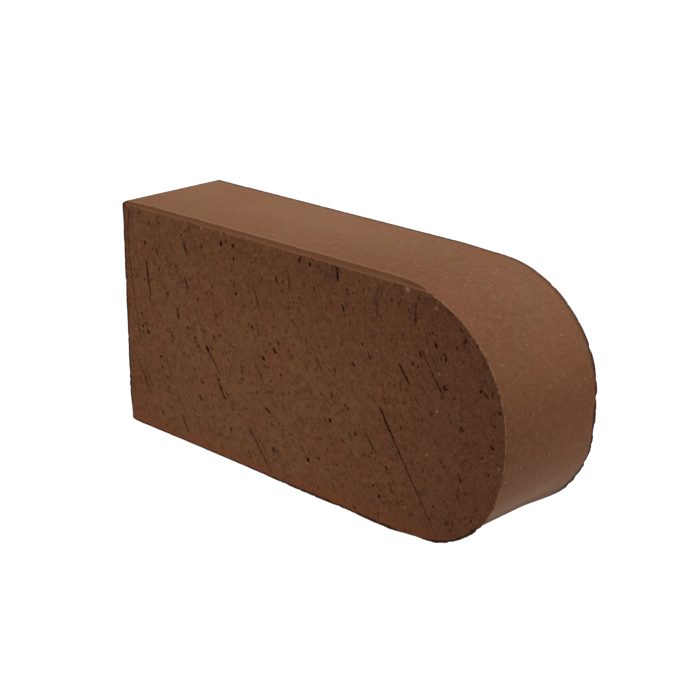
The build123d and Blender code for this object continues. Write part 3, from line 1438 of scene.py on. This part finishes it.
# %% The bevel
bevel_ends = {
    "band": (1.04, 0.97),
    # where shade is painted on the bevel's steep back part
    "stripe_shade": (0.62, 0.8),
    # a painted highlight line where the bevel meets the top
    "highlight line": (0.98, 1.03),
    "end of the line": (1.65, 1.2),
}
# where the lip's painted highlight lies, behind the front
lip_highlight_ends = (0.7, 0.35)
bevel_edge_softness = 0.3
stripe_size = 1.2
stripe_squeeze = 0.2
stripe_shares = {"least": 0.4, "by noise": 0.6}
lip_highlight_shares = {"least": 0.3, "by sand": 0.8}


def along_x(spot, table):
    """The function called along, as wires: straight lines between a table's places on x."""
    places = list(table.values())
    height = places[0][1]
    for (start, before), (end, after) in zip(places[:-1], places[1:]):
        height = height + ((spot.x - start) * (1 / (end - start))).clamp() * (after - before)
    return height


def with_bevel(web, spot, colour, sand):
    """Lays the bevel: dull clay, painted highlights on lip and top line, painted shade behind."""
    share = spot.behind_front / along_x(spot, bevel_depths)
    below = spot.down - along_x(spot, bevel_drops)
    here = spot.at("bevelled") * below.step(bevel_edge_softness, 0.0)
    shade = web.noise(web.vector(spot.x * stripe_squeeze, spot.y, spot.z), stripe_size, 2.0)
    # painted shade on the steep back part of the bevel
    stripe_shade = stripe_shares["least"] + shade * stripe_shares["by noise"]
    stripe_shade = share.step(*bevel_ends["stripe_shade"]) * stripe_shade
    # painted highlight on the lip next to the front
    lip = spot.behind_front.step(*lip_highlight_ends)
    lip = lip * (lip_highlight_shares["least"] + sand * lip_highlight_shares["by sand"])
    bevel = Coats(web, clay("bevel"))
    bevel.lay("shaded bevel stripe", stripe_shade.clamp())
    bevel.lay("lip", lip.clamp())
    band = here * share.step(*bevel_ends["band"])
    coats = Coats(web, web.mix(band, colour, bevel.colour))
    # painted highlight line where the bevel steps up to the top
    line = here * share.step(*bevel_ends["highlight line"]) * share.step(*bevel_ends["end of the line"])
    coats.lay("light sand and highlight", line, most=0.3)
    return coats.colour, band


# %% [markdown]
# Edges wear and gather dirt, and light and shade are painted along them too. Along the lower side,
# round the rear of the nose and down the left edge of the front, the rim is painted nearly black:
# along the lower side and round the rear of the nose the wire left the clay torn, and shade is
# painted into all of it, wider round the lower nose. Thin lines of painted shade run along the
# upper rear edge, the top of the square end and the foot of the nose. The front rim of the nose
# carries a pale painted highlight, and the square end's edge is a smear of skin pulled over the
# cut. Each rim is a mask of how far a point lies from an edge, and noise moves that distance in and
# out, so that no rim is even.

# %% The rims
rough_size = 2.2
slow_size = 12.0
low_rim_width = 2.15
left_rim_ends = (2.1, 1.3)
rear_rim_width = 2.4
# painted shade widens the dark rear rim round the lower nose
rear_rim_wider = {"lower half": 1.0, "undercut": 5.5}
edge_waver = 1.6
rear_waver = 2.4
left_waver = 1.8
at_edge_ends = (4.2, 2.6)
strip_widths = {"least": 0.6, "by height": 2.8, "by noise": 1.2}
strip_shares = {"least": 0.3, "below the corner": 0.3}
low_rim_narrower = 0.4
low_rim_shares = {"least": 0.55, "by noise": 0.45}
# how far from the rear the line of painted shade reaches
shade_line_width = 3.0
fading = {"strip": (0.6, -0.2), "low rim": (0.0, -0.8), "rear rim": (0.0, -1.0), "shade line": (0.0, -0.8)}
patchy = {"low rim": (0.3, 0.5), "rear rim": (0.3, 0.6), "highlight rim": (0.35, 0.5)}
# how dark the rims and lines of painted shade are
darkest = {"left rim": 0.75, "rear rim": 0.9, "shade line": 0.55, "end": 0.5, "foot": 0.5}


def lay_front_rims(coats, spot, rough, slow, ragged_edge):
    """Lays the warm lower rim and the square end's smeared strip, and returns dark rims with painted shade.
    """
    at = spot.at
    on_front = at("front rim")
    coats.lay("warm rim", on_front * at("lowest") * slow.step(*patchy["low rim"]), most=0.55)
    strip_width = strip_widths["by height"] * at("higher up") + strip_widths["least"]
    strip_width = strip_width + rough * strip_widths["by noise"]
    strip = (spot.from_end - strip_width).step(*fading["strip"])
    strip = on_front * strip * at("out of hollows")
    low_down = at("below the corner") * strip_shares["below the corner"]
    coats.lay("smeared", strip * (strip_shares["least"] + low_down))
    low_width = low_rim_width - at("where the nose turns") * low_rim_narrower
    # painted shade on the torn lower rim of the front
    low_rim = on_front * (ragged_edge - low_width).step(*fading["low rim"]) * at("near the floor")
    # painted shade down the left edge of the front
    left_rim = on_front * (spot.from_end + (rough - 0.5) * left_waver).step(*left_rim_ends)
    low_rim = low_rim * (low_rim_shares["least"] + slow * low_rim_shares["by noise"])
    return low_rim + left_rim * darkest["left rim"]


def rear_rims(spot, rough, at_edge):
    """The dark torn rim of the nose with painted shade, and a thin line of painted shade above it."""
    at = spot.at
    # the rear rim is painted wider round the lower nose, as shade
    width = rear_rim_width
    for place, wider in rear_rim_wider.items():
        width = width + at(place) * wider
    wavering = spot.before_rear + (rough - 0.5) * rear_waver
    # torn rim of the nose, with painted shade
    torn_and_shaded = spot.on_nose * (wavering - width).step(*fading["rear rim"])
    torn_and_shaded = torn_and_shaded * at("below the upper side") * at_edge
    # a thin line of painted shade along the upper rear edge
    thin = (spot.before_rear - shade_line_width).step(*fading["shade line"])
    thin = thin * at("above the middle") * at_edge
    return torn_and_shaded * darkest["rear rim"], thin * darkest["shade line"]


def with_rims(web, spot, colour):
    """Lays painted shade and highlight rims, and warm and smeared ones, over a colour by edge distance."""
    at = spot.at
    coats = Coats(web, colour)
    rough = web.noise(spot.place, rough_size, 3.0, 0.6)
    slow = web.noise(spot.place, slow_size, 2.0)
    ragged_edge = spot.inside + (rough - 0.5) * edge_waver
    at_edge = ragged_edge.step(*at_edge_ends)
    rear_warm = at_edge * spot.on_nose * at("rear rim") * at("below the shoulder")
    front_dark_and_shade = lay_front_rims(coats, spot, rough, slow, ragged_edge)
    coats.lay("warm rim", rear_warm * slow.step(*patchy["rear rim"]), most=0.7)
    rear_dark_and_shade, rear_shade_line = rear_rims(spot, rough, at_edge)
    # dark rims: torn clay with painted shade
    coats.lay("torn and shaded rim", (front_dark_and_shade + rear_dark_and_shade).clamp())
    # thin lines of painted shade: the square end's top edge and the nose's underside
    end_shade_line = at("edge of the square end") * at("just below the top") * darkest["end"]
    foot = spot.on_nose * at("underneath") * (1 - spot.cut) * at("behind the front rim")
    coats.lay("thin shade line", (rear_shade_line + end_shade_line + foot * darkest["foot"]).clamp())
    # painted highlight along the nose's front rim
    highlight = spot.on_nose * at("at the front") * at("at the outline")
    highlight = highlight * rough.step(*patchy["highlight rim"]) * at("off the ground")
    coats.lay("highlight rim", highlight, most=0.8)
    return coats.colour


# %% [markdown]
# What is too fine for the mesh is a bump: heights in millimetres that tilt the light without
# moving the surface. Then the colour, the roughness and the bump go into the one shader.

# %% Fired clay
specular = 0.07
skin_roughness = 0.66
sandy_roughness = 0.12
cut_roughness = 0.2
skin_heights = {"sand": 0.13, "grain": 0.06}
cut_heights = {"wide": 0.07, "fine": 0.08, "sand": 0.2, "grain": 0.09, "pore": 0.4}


def clay_height(spot, sand, grain, wide, fine, pore):
    """Heights in millimetres: sand and grain on the skin, and streaks and pores on the cut faces."""
    skin_height = sand * skin_heights["sand"] + grain * skin_heights["grain"]
    cut_height = wide * cut_heights["wide"] + fine * cut_heights["fine"]
    cut_height = cut_height + sand * cut_heights["sand"] + grain * cut_heights["grain"]
    cut_height = cut_height - pore * cut_heights["pore"]
    return skin_height + (cut_height - skin_height) * spot.cut


def clay_material():
    """The brick's one material: die skin, cut face, bevel and rims, blended by place."""
    web = Web("fired_clay")
    spot = Spot(web)
    skin, sand, grain = skin_colour(web, spot)
    cut, wide, fine, pore = cut_colour(web, spot, sand, grain)
    colour, band = with_bevel(web, spot, web.mix(spot.cut, skin, cut), sand)
    coats = Coats(web, with_rims(web, spot, colour))
    coats.lay("speck", dots(web, spot, grains), most=0.5)
    web.fill(web.shader.inputs["Base Color"], coats.colour)
    dull = spot.cut.at_least(band)
    roughness = skin_roughness + sand * sandy_roughness + dull * cut_roughness
    web.fill(web.shader.inputs["Roughness"], roughness)
    web.shader.inputs["Specular IOR Level"].default_value = specular
    height = clay_height(spot, sand, grain, wide, fine, pore)
    sockets = {"Height": height, "Strength": 1.0, "Distance": 1 / metre}
    web.fill(web.shader.inputs["Normal"], web.node("ShaderNodeBump", {}, sockets))
    return web.material


brick_mesh.materials.clear()
brick_mesh.materials.append(clay_material())
print(f"{len(brick_mesh.materials[0].node_tree.nodes)} nodes in the clay")
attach(brick, "root")
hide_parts("brick_body")

# %% [markdown]
# The photograph has a pure white ground and no shadow to speak of. So the floor here glows white
# by itself, and it is dark enough beneath its glow to show no shadow. The glow is also what lights
# the brick's front and its lower nose. The wide, high light stands behind the brick, so that the
# upper side is bright and the front is in soft shade. A weak low lamp on the left lifts the front's
# left end.

# %% Floor, light and tone
floor_half = 30.0
floor_grey = 0.05
floor_roughness = 0.9
floor_glow = 1.02
white = (1.0, 1.0, 1.0, 1.0)
light_strength = 5.0
light_spread = math.radians(76)
light_tilt = math.radians(13)
light_azimuth = math.radians(150)
sky_strength = 0.06
fill_place = np.array([-350.0, -350.0, 20.0])
fill_aim = np.array([-90.0, -32.5, 50.0])
fill_side = 200.0
fill_power = 0.6


def add_floor():
    """A plain square that glows white, level with the brick's lower side."""
    corners = [(-1, -1), (1, -1), (1, 1), (-1, 1)]
    mesh = bpy.data.meshes.new("floor")
    mesh.from_pydata([(a * floor_half, b * floor_half, 0.0) for a, b in corners], [], [(0, 1, 2, 3)])
    web = Web("white_floor")
    web.shader.inputs["Base Color"].default_value = (floor_grey, floor_grey, floor_grey, 1.0)
    web.shader.inputs["Roughness"].default_value = floor_roughness
    web.shader.inputs["Emission Color"].default_value = white
    web.shader.inputs["Emission Strength"].default_value = floor_glow
    mesh.materials.append(web.material)
    floor = bpy.data.objects.new("floor", mesh)
    bpy.context.collection.objects.link(floor)


def add_lamp(name, kind, strength):
    """A lamp of a kind, in the scene."""
    light = bpy.data.lights.new(name, kind)
    light.energy = strength
    lamp = bpy.data.objects.new(name, light)
    bpy.context.collection.objects.link(lamp)
    return lamp


def add_fill():
    """The weak low lamp on the left, turned towards the front's left end."""
    lamp = add_lamp("low_fill", "AREA", fill_power)
    lamp.data.size = fill_side / metre
    lamp.location = fill_place / metre
    lamp.rotation_euler = Vector(fill_aim - fill_place).to_track_quat("-Z", "Z").to_euler()


def add_high_light():
    """The wide high sun behind the brick."""
    lamp = add_lamp("high_light", "SUN", light_strength)
    lamp.data.angle = light_spread
    lamp.rotation_euler = (light_tilt, 0.0, light_azimuth)


def add_sky():
    """A faint even light from everywhere."""
    sky = bpy.data.worlds.new("sky")
    sky.use_nodes = True
    background = sky.node_tree.nodes["Background"]
    background.inputs["Color"].default_value = white
    background.inputs["Strength"].default_value = sky_strength
    bpy.context.scene.world = sky


add_floor()
add_fill()
add_high_light()
add_sky()
bpy.context.scene.view_settings.view_transform = "Standard"
